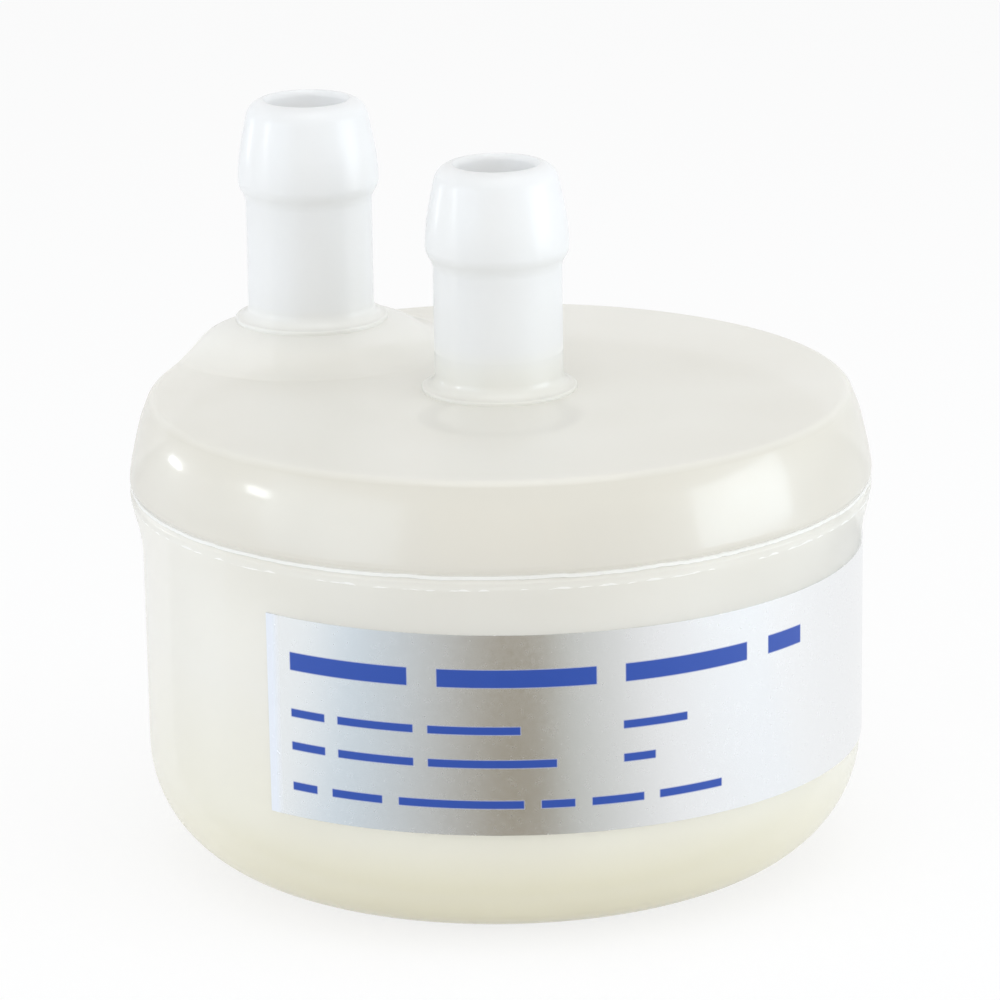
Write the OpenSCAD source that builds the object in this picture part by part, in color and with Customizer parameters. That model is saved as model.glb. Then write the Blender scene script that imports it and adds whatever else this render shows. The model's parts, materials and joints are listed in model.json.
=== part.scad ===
// Welded capsule filter: a moulded head with two hose barbs, a moulded bowl and a sealed depth element.
// Millimetres. The capsule's axis is Z, its base stands on Z = 0 and the inlet barb lies towards -X.

/* [Capsule] */
// Height of the bowl, from its base to the weld seam
bowl_h = 31.2; // [26:0.2:45]
// Height of the head's flat top above the weld seam
head_h = 7.2; // [6.6:0.1:12]
// Outer radius of the bowl's wall just under the weld flange
bowl_r = 29.1; // [26:0.1:36]
// Inward draft of the bowl's wall over its height
bowl_draft = 0.1; // [0:0.05:0.4]
// Outer radius of the bowl's bottom corner
corner_r = 9.7; // [6:0.1:11]
// Thickness of the moulded walls
wall = 2.0; // [1.5:0.1:2.4]
// Thickness of the bowl's base
base_t = 2.2; // [1.5:0.1:3]
// Thickness of the head's top plate
plate_t = 2.4; // [1.8:0.1:3]
// How far the head's top edge lies inside the bowl's outer wall
rim_inset = 0.6; // [0.2:0.1:1.2]
// Radius of the rounding round the head's top edge
shoulder_r = 0.7; // [0.5:0.1:1.5]

/* [Weld flange] */
// How far the weld bead stands out from the bowl's wall
bead_out = 0.9; // [0.6:0.1:1.4]
// Half height of the bead's straight crest, on each side of the seam
bead_land = 0.9; // [0.5:0.1:1.2]
// Length of the head's flare from skirt to bead
head_flare = 2.3; // [1.5:0.1:3]
// Length of the bowl's flare from wall to bead
bowl_flare = 3.4; // [2:0.1:4]
// Depth of the fine groove left along the seam
seam_groove = 0.28; // [0.1:0.02:0.4]
// Width of the head's locating tongue
tongue_w = 0.9; // [0.6:0.1:1.1]
// Length of the head's locating tongue
tongue_h = 1.2; // [0.8:0.1:1.8]
// Clearance round the tongue in the bowl's groove
tongue_gap = 0.1; // [0.05:0.05:0.15]

/* [Hose barbs] */
// Length of each barb above its seat
barb_len = 18.5; // [16:0.5:24]
// Radius of the straight stem
stem_r = 5.2; // [4.6:0.1:5.5]
// Radius of the barb's crest, which grips the hose
crest_r = 5.8; // [5.5:0.1:6.4]
// Length of the crest's straight land
crest_land = 1.7; // [1:0.1:2.5]
// Height of the stem, up to where the crest's undercut begins
stem_len = 10.3; // [9:0.1:11.5]
// Height of the undercut between stem and crest
undercut_h = 1.2; // [0.8:0.1:1.8]
// Radius of the barb's tip where its lip begins
tip_r = 4.95; // [4.6:0.05:5]
// Power of the curve that swells the taper from crest to tip, 1 for a straight cone
taper_swell = 1.5; // [1:0.1:2]
// Radius of the rounded lip round the mouth
lip_r = 1.1; // [0.3:0.05:1.1]
// Radius of the bore through each barb
bore_r = 3.2; // [2.6:0.1:3.4]
// Width of the eased edge at the mouth of the bore
mouth_ease = 0.35; // [0.2:0.05:0.45]
// Radius of the fillet round the foot of each barb
foot_fillet_r = 1.0; // [0.4:0.1:1.2]
// Width of the ring outside that fillet
foot_land = 0.1; // [0.1:0.1:0.4]
// Height of that ring
foot_ring_h = 0.3; // [0.2:0.1:0.8]

/* [Inlet boss] */
// Distance of the inlet barb's axis from the head's top edge
inlet_inset = 7.0; // [6.5:0.1:8]
// Height of the rounded boss under the inlet barb
boss_h = 2.3; // [1.5:0.1:3]
// Width of the boss's flat top outside the barb's foot
boss_land = 0.2; // [0.1:0.1:0.6]
// Radius of the boss where it runs out into the top plate
boss_foot_r = 12; // [10:0.1:13]
// Inset of the boss from the head's top edge
boss_inset = 0.5; // [0.2:0.1:1]
// Radius of the boss's rounding along the head's top edge
boss_round_r = 1.5; // [0.8:0.1:2]

/* [Element] */
// Gap for the flow between the element's caps and the bowl's wall
flow_gap = 3.4; // [3:0.1:5]
// Height of the chamber between the element and the head's top plate
chamber_h = 3.8; // [3:0.1:6]
// Inner radius of the depth medium
medium_bore_r = 10.6; // [10.4:0.1:12]
// Radial clearance between the medium and its core and caps
medium_gap = 0.1; // [0.05:0.05:0.2]
// Thickness of the perforated core's wall
core_t = 1.5; // [1:0.1:1.8]
// Number of window columns round the core
core_columns = 8; // [6:2:10]
// Number of window rows along the core
core_rows = 4; // [3:1:5]
// Width of each bar left between windows
core_bar = 2.4; // [2:0.1:3]
// Thickness of each end cap
cap_t = 2.0; // [1.6:0.1:2.4]
// Thickness of the lip round each end cap
cap_lip_t = 1.1; // [0.8:0.1:1.2]
// Height of the lip round each end cap
cap_lip_h = 1.6; // [1:0.1:2.5]
// Height of the ribs in the bowl that the element stands on
rib_h = 2.0; // [1.8:0.1:2.4]
// Thickness of those ribs
rib_t = 1.4; // [1:0.1:2]
// Number of those ribs
rib_count = 6; // [4:1:8]
// Outer radius of the upper cap's spigot
spigot_r = 5.0; // [4.6:0.1:5.4]
// Gap left between the spigot's end and the top plate
spigot_end_gap = 0.3; // [0.2:0.1:0.5]
// Radial clearance between the spigot and the head's socket
spigot_gap = 0.05; // [0.03:0.01:0.1]
// Wall of the head's outlet socket
socket_t = 1.6; // [1.2:0.1:2]
// Gap left between the socket's end and the upper cap
socket_end_gap = 0.3; // [0.2:0.1:0.5]

/* [Label] */
// Gap between the bowl's rounded corner and the label's lower edge
label_low_gap = 0.3; // [0.1:0.1:3]
// Gap between the label's upper edge and the bowl's flare
label_high_gap = 0.7; // [0.1:0.1:3]
// Angle that the label wraps round the bowl
label_arc = 170; // [120:1:180]
// Thickness of the label film
label_t = 0.16; // [0.1:0.02:0.3]
// Adhesive line between the label and the bowl
label_gap = 0.02; // [0.01:0.01:0.05]

/* [Hidden] */
$fn = 96;

// Points on each turned arc
arc_steps = 8;
// Points on the barbs' tapers
taper_steps = 4;
// Overlap that lets a cut pass cleanly through a face
eps = 0.5;

// Heights of the seam and of the head's top plate
seam_z = bowl_h;
body_h = bowl_h + head_h;
plate_under_z = body_h - plate_t;
// Radii round the weld
bead_r = bowl_r + bead_out;
rim_r = bowl_r - rim_inset;
bore_wall_r = bowl_r - wall;
tongue_mid_r = (bore_wall_r + bead_r) / 2;
// The inlet barb's place, and the radii round the foot of a barb
inlet_offset = rim_r - inlet_inset;
foot_ring_r = stem_r + foot_fillet_r + foot_land;
boss_top_r = foot_ring_r + boss_land;
// The wall's radius where the bottom corner begins
bowl_low_r = bowl_r - bowl_draft;
corner_centre_r = bowl_low_r - corner_r;
flange_low_z = seam_z - bead_land - bowl_flare;
// The skirt ends where its flare to the bead begins
skirt_low_z = seam_z + bead_land + head_flare;
skirt_low_r = bowl_r + bead_out / 3;

// The element's stack, from the bowl's ribs upwards
lower_cap_z = base_t + rib_h;
medium_z = lower_cap_z + cap_t;
upper_cap_top_z = plate_under_z - chamber_h;
upper_cap_z = upper_cap_top_z - cap_t;
medium_h = upper_cap_z - medium_z;
core_r = medium_bore_r - medium_gap;
core_bore_r = core_r - core_t;
cap_r = bore_wall_r - flow_gap;
cap_lip_bore_r = cap_r - cap_lip_t;
medium_r = cap_lip_bore_r - medium_gap;
spigot_h = chamber_h - spigot_end_gap;
socket_bore_r = spigot_r + spigot_gap;
socket_r = socket_bore_r + socket_t;
socket_low_z = upper_cap_top_z + socket_end_gap;
// Ribs stay on the flat of the base, inside its rounded corner
rib_outer_r = corner_centre_r - rib_t;
rib_inner_r = rib_outer_r / 3;
// The label covers the straight wall between the corner and the flare
label_z = corner_r + label_low_gap;
label_h = flange_low_z - label_high_gap - label_z;

HEAD_TINT = [0.93, 0.94, 0.93, 0.75];
BOWL_TINT = [0.93, 0.91, 0.85, 0.75];
MEDIUM_TINT = [0.90, 0.84, 0.71];
CORE_TINT = [0.94, 0.94, 0.92];
LABEL_TINT = [0.78, 0.79, 0.80];

// Points along an arc in the (radius, height) plane
function arc(r, z, size, from, to) = [
    for (i = [0:arc_steps])
        let (a = from + (to - from) * i / arc_steps)
            [r + size * cos(a), z + size * sin(a)]
];

// Radius of the bowl's outer wall at a height
function wall_r(z) =
    bowl_low_r + bowl_draft * (z - corner_r) / (flange_low_z - corner_r);

// Tube between two radii
module tube(outer, inner, height) {
    difference() {
        cylinder(r = outer, h = height);
        translate([0, 0, -eps]) cylinder(r = inner, h = height + 2 * eps);
    }
}

// Smooth flare between two points of a profile, level with the axis at both ends
function flare(r0, z0, r1, z1) = [
    for (i = [0:arc_steps])
        let (t = i / arc_steps, s = (1 - cos(180 * t)) / 2)
            [r0 + (r1 - r0) * s, z0 + (z1 - z0) * t]
];

// Solid of the head's lid without its bores, turned about the axis
module lid_shell() {
    rotate_extrude()
        polygon(concat(
            [[0, body_h]],
            arc(rim_r - shoulder_r, body_h - shoulder_r, shoulder_r, 90, 0),
            flare(skirt_low_r, skirt_low_z, bead_r, seam_z + bead_land),
            [[bead_r, seam_z + seam_groove],
             [bead_r - seam_groove, seam_z],
             [tongue_mid_r + tongue_w / 2, seam_z],
             [tongue_mid_r + tongue_w / 2, seam_z - tongue_h],
             [tongue_mid_r - tongue_w / 2, seam_z - tongue_h],
             [tongue_mid_r - tongue_w / 2, seam_z],
             [bore_wall_r, seam_z]],
            arc(bore_wall_r - wall, plate_under_z - wall, wall, 0, 90),
            [[0, plate_under_z]]));
}

// Outside of one hose barb, standing on its seat
module barb_body() {
    crest_z = stem_len + undercut_h;
    taper_z = crest_z + crest_land;
    lip_z = barb_len - lip_r;
    rotate_extrude()
        polygon(concat(
            [[0, -plate_t / 2], [foot_ring_r, -plate_t / 2], [foot_ring_r, foot_ring_h]],
            arc(stem_r + foot_fillet_r, foot_ring_h + foot_fillet_r, foot_fillet_r, 270, 180),
            flare(stem_r, stem_len, crest_r, crest_z),
            [for (i = [0:taper_steps - 1])
                let (t = i / taper_steps)
                    [crest_r - (crest_r - tip_r) * pow(t, taper_swell), taper_z + (lip_z - taper_z) * t]],
            arc(tip_r - lip_r, lip_z, lip_r, 0, 90),
            [[0, barb_len]]));
}

// Through bore of one barb, with its eased mouth
module barb_bore(depth) {
    translate([0, 0, barb_len - depth])
        cylinder(r = bore_r, h = depth + eps);
    translate([0, 0, barb_len - mouth_ease])
        cylinder(r1 = bore_r, r2 = bore_r + 2 * mouth_ease, h = 2 * mouth_ease);
}

// Low bell-shaped boss under the inlet barb, kept inside the head's top edge and rounded along it
module inlet_boss() {
    limit_r = rim_r - boss_inset;
    limit_z = body_h + boss_h;
    intersection() {
        translate([-inlet_offset, 0, body_h])
            rotate_extrude()
                polygon(concat(
                    [[0, -plate_t / 2], [boss_foot_r, -plate_t / 2]],
                    [for (i = [0:arc_steps])
                        let (t = i / arc_steps)
                            [boss_foot_r + (boss_top_r - boss_foot_r) * t, boss_h * (1 - cos(180 * t)) / 2]],
                    [[0, boss_h]]));
        rotate_extrude()
            polygon(concat(
                [[0, plate_under_z], [limit_r, plate_under_z]],
                arc(limit_r - boss_round_r, limit_z - boss_round_r, boss_round_r, 0, 90),
                [[0, limit_z]]));
    }
}

// Moulded head: lid, skirt, weld flange, outlet socket, inlet boss and both barbs
module head() {
    inlet_seat = body_h + boss_h;
    color(HEAD_TINT)
    difference() {
        union() {
            lid_shell();
            inlet_boss();
            translate([0, 0, body_h]) barb_body();
            translate([-inlet_offset, 0, inlet_seat]) barb_body();
            translate([0, 0, socket_low_z])
                cylinder(r = socket_r, h = body_h - plate_t / 2 - socket_low_z);
        }
        translate([0, 0, body_h]) barb_bore(barb_len + plate_t / 2);
        translate([0, 0, socket_low_z - eps])
            cylinder(r = socket_bore_r, h = plate_under_z - socket_low_z + eps);
        translate([0, 0, plate_under_z - eps])
            cylinder(r = bore_r, h = plate_t);
        translate([-inlet_offset, 0, inlet_seat])
            barb_bore(barb_len + boss_h + plate_t + eps);
    }
}

// Section of the bowl: flared weld flange, drafted wall, round corner and flat base
module bowl_section() {
    groove_half = tongue_w / 2 + tongue_gap;
    groove_z = seam_z - tongue_h - tongue_gap;
    polygon(concat(
        [[0, 0]],
        arc(corner_centre_r, corner_r, corner_r, -90, 0),
        flare(bowl_r, flange_low_z, bead_r, seam_z - bead_land),
        [[bead_r, seam_z - seam_groove],
         [bead_r - seam_groove, seam_z],
         [tongue_mid_r + groove_half, seam_z],
         [tongue_mid_r + groove_half, groove_z],
         [tongue_mid_r - groove_half, groove_z],
         [tongue_mid_r - groove_half, seam_z],
         [bore_wall_r, seam_z]],
        arc(corner_centre_r, corner_r, corner_r - wall, 0, -90 + acos((corner_r - base_t) / (corner_r - wall))),
        [[corner_centre_r, base_t], [0, base_t]]));
}

// Moulded bowl with the radial ribs that the element stands on
module bowl() {
    color(BOWL_TINT)
    union() {
        rotate_extrude() bowl_section();
        for (i = [0:rib_count - 1])
            rotate([0, 0, 360 * i / rib_count])
                translate([rib_inner_r, -rib_t / 2, base_t / 2])
                    cube([rib_outer_r - rib_inner_r, rib_t, rib_h + base_t / 2]);
    }
}

// Metallised film label wrapped round the side away from the inlet
module label() {
    low = wall_r(label_z) + label_gap;
    high = wall_r(label_z + label_h) + label_gap;
    color(LABEL_TINT)
    rotate([0, 0, -label_arc / 2])
        rotate_extrude(angle = label_arc)
            polygon([
                [low, label_z],
                [low + label_t, label_z],
                [high + label_t, label_z + label_h],
                [high, label_z + label_h]]);
}

// Thick-walled depth medium
module filter_medium() {
    color(MEDIUM_TINT)
    translate([0, 0, medium_z]) tube(medium_r, medium_bore_r, medium_h);
}

// Perforated core inside the medium
module support_core() {
    window_h = (medium_h - core_bar) / core_rows - core_bar;
    window_w = 2 * PI * core_bore_r / core_columns - core_bar;
    color(CORE_TINT)
    translate([0, 0, medium_z])
        difference() {
            tube(core_r, core_bore_r, medium_h);
            for (row = [0:core_rows - 1], column = [0:core_columns / 2 - 1])
                translate([0, 0, core_bar + row * (window_h + core_bar)])
                    rotate([0, 0, 360 * column / core_columns])
                        translate([-core_r - eps, -window_w / 2, 0])
                            cube([2 * (core_r + eps), window_w, window_h]);
        }
}

// Upper cap: open in the middle, with the spigot that enters the head's socket
module upper_end_cap() {
    color(CORE_TINT)
    translate([0, 0, upper_cap_z])
        difference() {
            union() {
                cylinder(r = cap_r, h = cap_t);
                translate([0, 0, -cap_lip_h]) tube(cap_r, cap_lip_bore_r, cap_lip_h + cap_t / 2);
                cylinder(r = spigot_r, h = cap_t + spigot_h);
            }
            translate([0, 0, -eps]) cylinder(r = bore_r, h = cap_t + spigot_h + 2 * eps);
        }
}

// Lower cap: closed, with a low boss that centres the core
module lower_end_cap() {
    color(CORE_TINT)
    translate([0, 0, lower_cap_z])
        union() {
            cylinder(r = cap_r, h = cap_t);
            translate([0, 0, cap_t / 2]) tube(cap_r, cap_lip_bore_r, cap_lip_h + cap_t / 2);
            cylinder(r = core_bore_r - medium_gap, h = cap_t + cap_lip_h);
        }
}

head();
bowl();
label();
filter_medium();
support_core();
upper_end_cap();
lower_end_cap();
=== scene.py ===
"""Looks of a welded capsule filter.

Milky moulded shells stand over a cream depth element, with a metallised film label round the bowl.
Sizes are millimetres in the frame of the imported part, and meshes are made in metres. The capsule's
axis is Z, its base stands on Z = 0 and the inlet barb lies towards -X.
"""

import json
import logging
import math
from dataclasses import dataclass
from enum import Enum
from typing import Any, Optional, Sequence, Union

import bmesh
import bpy
from mathutils import Matrix, Vector, noise

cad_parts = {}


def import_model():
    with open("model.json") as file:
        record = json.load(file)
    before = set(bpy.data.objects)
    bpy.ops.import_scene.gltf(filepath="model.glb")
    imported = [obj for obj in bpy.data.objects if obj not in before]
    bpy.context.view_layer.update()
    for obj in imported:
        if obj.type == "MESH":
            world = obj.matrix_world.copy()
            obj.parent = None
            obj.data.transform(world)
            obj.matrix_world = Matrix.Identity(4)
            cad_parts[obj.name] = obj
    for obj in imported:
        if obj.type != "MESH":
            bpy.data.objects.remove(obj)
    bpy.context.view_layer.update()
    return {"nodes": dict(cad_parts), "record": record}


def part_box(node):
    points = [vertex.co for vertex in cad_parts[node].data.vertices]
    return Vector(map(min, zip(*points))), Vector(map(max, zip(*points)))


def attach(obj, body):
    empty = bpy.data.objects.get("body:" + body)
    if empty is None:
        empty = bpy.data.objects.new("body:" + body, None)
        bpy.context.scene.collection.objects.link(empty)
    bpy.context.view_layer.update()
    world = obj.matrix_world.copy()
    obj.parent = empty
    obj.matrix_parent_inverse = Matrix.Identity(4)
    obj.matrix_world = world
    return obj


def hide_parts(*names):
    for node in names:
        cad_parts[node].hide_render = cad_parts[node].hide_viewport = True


LOG = logging.getLogger("capsule_filter")
MM = 0.001
BODY = "root"
MERGE_DISTANCE = 1e-6
SHARP_ANGLE = math.radians(38)
TURN_STEPS = 144
BARB_STEPS = 80
# The groove along the weld, half in the head and half in the bowl, in millimetres
GROOVE_DEPTH = 0.25
GROOVE_REACH = 0.45
GROOVE_INSET = 0.02
GROOVE_ROUND = 0.1

Colour = tuple[float, float, float]
Tones = tuple[tuple[float, Colour], ...]
SocketKey = Union[str, int]

WHITE: Colour = (1.0, 1.0, 1.0)
# Heights in millimetres, and the colour there. The bowl's wall is yellower and darker towards the base.
WALL_TONES: Tones = (
    (0.0, (0.93, 0.86, 0.56)),
    (3.0, (0.95, 0.90, 0.67)),
    (9.0, (0.965, 0.938, 0.82)),
    (20.0, (0.967, 0.948, 0.885)),
    (31.2, (0.967, 0.943, 0.87)),
)
# The head's colour by height. The skirt is painted a darker cream than the lid's top up to the shoulder. This
# is painted shade, because the top catches the light from above, and it also stands for the cream element
# seen through the wall.
HEAD_TONES_AND_SHADE: Tones = (
    (31.2, (0.84, 0.808, 0.73)),
    (38.0, (0.83, 0.80, 0.715)),
    (38.35, (0.955, 0.943, 0.88)),
    (40.8, (0.945, 0.94, 0.895)),
    (42.5, (0.935, 0.938, 0.94)),
)
TIP_TONE: Colour = (0.925, 0.932, 0.938)
FLASH_TONES: tuple[Colour, Colour] = ((0.93, 0.92, 0.88), (0.96, 0.95, 0.92))
# Heights of the lid's flat, and of the barbs above their feet
HEAD_MATT_ZONES = ((38.1, 38.6), (41.5, 60.0))
# Width in millimetres of a painted reflection of the left window, a pale strip at the label's left end
LABEL_REFLECTION_WIDTH = 1.3
LABEL_SILVER: Colour = (0.86, 0.87, 0.88)
LABEL_INK: Colour = (0.010, 0.060, 0.36)
# Colour of the painted reflection at the label's left end, which is not metallic
LABEL_PAINTED_REFLECTION: Colour = (0.72, 0.75, 0.81)
FIBRE_TONES: tuple[Colour, Colour] = ((0.80, 0.68, 0.40), (0.72, 0.58, 0.30))
INNER_TONES: tuple[Colour, Colour] = ((0.88, 0.88, 0.85), (0.82, 0.82, 0.78))


class Join(Enum):
    """How one solid is brought together with another."""

    ADD = "UNION"
    CUT = "DIFFERENCE"
    KEEP = "INTERSECT"


class Graph:
    """The node tree of one material or world, and the one place where nodes are made."""

    def __init__(self, tree: bpy.types.NodeTree) -> None:
        """Empty the tree and keep it.

        Args:
            tree: node tree of a material or a world.
        """
        self.tree = tree
        self.tree.nodes.clear()

    def node(self, kind: str, settings: Optional[dict[str, Any]] = None,
             values: Optional[dict[SocketKey, Any]] = None) -> bpy.types.Node:
        """Add one node, set it up and feed its sockets.

        Args:
            kind: node type, such as ShaderNodeMath.
            settings: attributes that are set first; "stops" gives a ramp's positions and colours.
            values: socket name or index, with a number, a colour, a Value or an output socket.

        Returns:
            The new node.
        """
        made = self.tree.nodes.new(kind)
        for name, setting in (settings or {}).items():
            if name == "stops":
                self._set_stops(made.color_ramp, setting)
            else:
                setattr(made, name, setting)
        for key, value in (values or {}).items():
            self._feed(made.inputs[key], value)
        return made

    def value(self, kind: str, output: SocketKey = 0, settings: Optional[dict[str, Any]] = None,
              values: Optional[dict[SocketKey, Any]] = None) -> "Value":
        """Add one node and wrap one of its outputs.

        Args:
            kind: node type.
            output: name or index of the output.
            settings: attributes that are set first.
            values: socket values and links.

        Returns:
            The wrapped output.
        """
        return Value(self, self.node(kind, settings, values).outputs[output])

    def mix(self, factor: Any, low: Any, high: Any) -> "Value":
        """Blend two colours by a factor."""
        settings = {"data_type": "RGBA", "blend_type": "MIX"}
        return self.value("ShaderNodeMix", 2, settings, {0: factor, 6: low, 7: high})

    def tint(self, colour: Any, by: Any) -> "Value":
        """Multiply two colours."""
        settings = {"data_type": "RGBA", "blend_type": "MULTIPLY"}
        return self.value("ShaderNodeMix", 2, settings, {0: 1.0, 6: colour, 7: by})

    def noise(self, place: "Value", scale: float, detail: float = 2.0, roughness: float = 0.5) -> "Value":
        """Soft noise with a mean of one half."""
        values = {"Vector": place, "Scale": scale, "Detail": detail, "Roughness": roughness}
        return self.value("ShaderNodeTexNoise", "Fac", None, values)

    def place(self) -> "Value":
        """Object coordinates."""
        return self.value("ShaderNodeTexCoord", "Object")

    def axes(self, place: "Value") -> tuple["Value", ...]:
        """The parts of a place along X, Y and Z."""
        split = self.node("ShaderNodeSeparateXYZ", None, {0: place})
        return tuple(Value(self, part) for part in split.outputs)

    def ramp(self, share: "Value", stops: Sequence[tuple[float, Colour]]) -> "Value":
        """The colour that a share from 0 to 1 picks from the stops."""
        return self.value("ShaderNodeValToRGB", 0, {"stops": stops}, {0: share})

    def show(self, shader: bpy.types.Node) -> None:
        """Put a shader on the surface."""
        self.node("ShaderNodeOutputMaterial", None, {"Surface": shader.outputs[0]})

    def _feed(self, socket: bpy.types.NodeSocket, value: Any) -> None:
        """Link or set one input socket.

        Args:
            socket: the input.
            value: a Value or an output socket to link, or a number or colour to set.
        """
        if isinstance(value, Value):
            self.tree.links.new(value.socket, socket)
        elif isinstance(value, bpy.types.NodeSocket):
            self.tree.links.new(value, socket)
        elif socket.type == "RGBA":
            socket.default_value = (*value, 1.0)
        else:
            socket.default_value = value

    @staticmethod
    def _set_stops(ramp: bpy.types.ColorRamp, stops: Sequence[tuple[float, Colour]]) -> None:
        """Give a colour ramp its stops.

        Args:
            ramp: the colour ramp.
            stops: positions from 0 to 1, and the colour at each.
        """
        while len(ramp.elements) < len(stops):
            ramp.elements.new(1.0)
        for element, (position, colour) in zip(ramp.elements, stops):
            element.position = position
            element.color = (*colour, 1.0)


class Value:
    """One output socket, with operators that add Math nodes."""

    def __init__(self, graph: Graph, socket: bpy.types.NodeSocket) -> None:
        """Keep the graph and the socket."""
        self.graph = graph
        self.socket = socket

    def _math(self, operation: str, first: Any, second: Any, clamp: bool = False) -> "Value":
        """Add a Math node on two operands."""
        settings = {"operation": operation, "use_clamp": clamp}
        return self.graph.value("ShaderNodeMath", 0, settings, {0: first, 1: second})

    def __add__(self, other: Any) -> "Value":
        """Sum."""
        return self._math("ADD", self, other)

    def __radd__(self, other: Any) -> "Value":
        """Sum with a number first."""
        return self._math("ADD", other, self)

    def __sub__(self, other: Any) -> "Value":
        """Difference."""
        return self._math("SUBTRACT", self, other)

    def __rsub__(self, other: Any) -> "Value":
        """Difference with a number first."""
        return self._math("SUBTRACT", other, self)

    def __mul__(self, other: Any) -> "Value":
        """Product."""
        return self._math("MULTIPLY", self, other)

    def __rmul__(self, other: Any) -> "Value":
        """Product with a number first."""
        return self._math("MULTIPLY", other, self)

    def __truediv__(self, other: Any) -> "Value":
        """Quotient."""
        return self._math("DIVIDE", self, other)

    def clamped(self) -> "Value":
        """The value held between 0 and 1."""
        return self._math("ADD", self, 0.0, clamp=True)

    def contrast(self, gain: float) -> "Value":
        """The value with its spread about one half widened, held between 0 and 1."""
        return ((self - 0.5) * gain + 0.5).clamped()

    def largest(self, other: Any) -> "Value":
        """The larger of two values."""
        return self._math("MAXIMUM", self, other)

    def turn_from(self, cosine: Any) -> "Value":
        """The angle in radians whose sine goes with this value."""
        return self._math("ARCTAN2", self, cosine)

    def band(self, low: float, high: float, soft: float) -> "Value":
        """A mask that is 1 between two limits and falls off over a soft edge.

        Args:
            low: lower limit.
            high: upper limit.
            soft: width of the edge.

        Returns:
            The mask.
        """
        rise = ((self - low) / soft).clamped()
        fall = ((high - self) / soft).clamped()
        return rise * fall


@dataclass(frozen=True)
class Corner:
    """One corner of a turned profile, in millimetres.

    Attributes:
        r: distance from the axis.
        z: height.
        setback: how far back along its edges the corner is rounded.
        steps: segments of that rounding.
    """

    r: float
    z: float
    setback: float = 0.0
    steps: int = 6


def turned(corners: Sequence[Corner], centre_x: float = 0.0, steps: int = TURN_STEPS) -> bmesh.types.BMesh:
    """Turn a profile into a closed solid about an upright axis.

    Args:
        corners: the profile, which starts and ends on the axis or else closes on itself.
        centre_x: where the axis crosses X, in millimetres.
        steps: segments round the axis.

    Returns:
        The solid, in metres, with its faces pointing outwards.
    """
    form = bmesh.new()
    chain = [form.verts.new((corner.r * MM, 0.0, corner.z * MM)) for corner in corners]
    for first, second in zip(chain, chain[1:]):
        form.edges.new((first, second))
    if corners[0].r > 0.0:
        form.edges.new((chain[-1], chain[0]))
    for vert, corner in zip(chain, corners):
        if corner.setback > 0.0:
            bmesh.ops.bevel(form, geom=[vert], offset=corner.setback * MM, offset_type="OFFSET",
                            affect="VERTICES", segments=corner.steps, profile=0.5, material=-1)
    bmesh.ops.spin(form, geom=form.verts[:] + form.edges[:], cent=(0, 0, 0), axis=(0, 0, 1),
                   angle=2 * math.pi, steps=steps, use_merge=True, use_duplicate=False)
    bmesh.ops.remove_doubles(form, verts=form.verts[:], dist=MERGE_DISTANCE)
    bmesh.ops.recalc_face_normals(form, faces=form.faces[:])
    bmesh.ops.translate(form, verts=form.verts[:], vec=(centre_x * MM, 0.0, 0.0))
    return form


def block(low: Vector, high: Vector, turn: float) -> bmesh.types.BMesh:
    """Make a box between two corners and turn it about the axis.

    Args:
        low: lowest corner, in millimetres.
        high: highest corner, in millimetres.
        turn: angle about Z, in radians.

    Returns:
        The box, in metres.
    """
    form = bmesh.new()
    size = (high - low) * MM
    middle = (high + low) * (MM / 2)
    place = Matrix.Rotation(turn, 4, "Z") @ Matrix.Translation(middle) @ Matrix.Diagonal((*size, 1.0))
    bmesh.ops.create_cube(form, size=1.0, matrix=place)
    return form


def smooth(mesh: bpy.types.Mesh) -> None:
    """Shade a mesh smooth, with a crease where two faces meet at a clear angle."""
    mesh.polygons.foreach_set("use_smooth", [True] * len(mesh.polygons))
    mesh.set_sharp_from_angle(angle=SHARP_ANGLE)


def as_object(name: str, form: bmesh.types.BMesh) -> bpy.types.Object:
    """Turn a form into a smooth-shaded object at the origin.

    Args:
        name: the piece's name.
        form: its geometry, which is freed.

    Returns:
        The object, linked to the scene.
    """
    mesh = bpy.data.meshes.new(name)
    form.to_mesh(mesh)
    form.free()
    smooth(mesh)
    piece = bpy.data.objects.new(name, mesh)
    bpy.context.scene.collection.objects.link(piece)
    return piece


def carved(name: str, base: bmesh.types.BMesh,
           steps: Sequence[tuple[Join, bmesh.types.BMesh]]) -> bmesh.types.BMesh:
    """Bring solids together with a base, one after another.

    Args:
        name: a name for the work in hand.
        base: the solid that the work starts from.
        steps: how each further solid is joined, and that solid.

    Returns:
        One merged form.
    """
    stock = as_object(name, base)
    tools = []
    for join, form in steps:
        tool = as_object(f"{name}_tool", form)
        modifier = stock.modifiers.new(join.name, "BOOLEAN")
        modifier.operation = join.value
        modifier.solver = "EXACT"
        modifier.object = tool
        tools.append(tool)
    graph = bpy.context.evaluated_depsgraph_get()
    mesh = bpy.data.meshes.new_from_object(stock.evaluated_get(graph))
    result = bmesh.new()
    result.from_mesh(mesh)
    bmesh.ops.remove_doubles(result, verts=result.verts[:], dist=MERGE_DISTANCE)
    bmesh.ops.recalc_face_normals(result, faces=result.faces[:])
    for item in (stock, *tools):
        bpy.data.objects.remove(item)
    return result


def dress(piece: bpy.types.Object, material: bpy.types.Material, slot: str, *stands_for: str) -> None:
    """Give a new piece its finish, its body and the nodes that it stands for.

    Args:
        piece: the new object.
        material: its finish.
        slot: the record's material slot; not used.
        stands_for: CAD nodes that the piece replaces.
    """
    piece.data.materials.clear()
    piece.data.materials.append(material)
    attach(piece, BODY)
    if stands_for:
        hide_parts(*stands_for)
    LOG.info("%s: %d faces", piece.name, len(piece.data.polygons))


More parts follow.
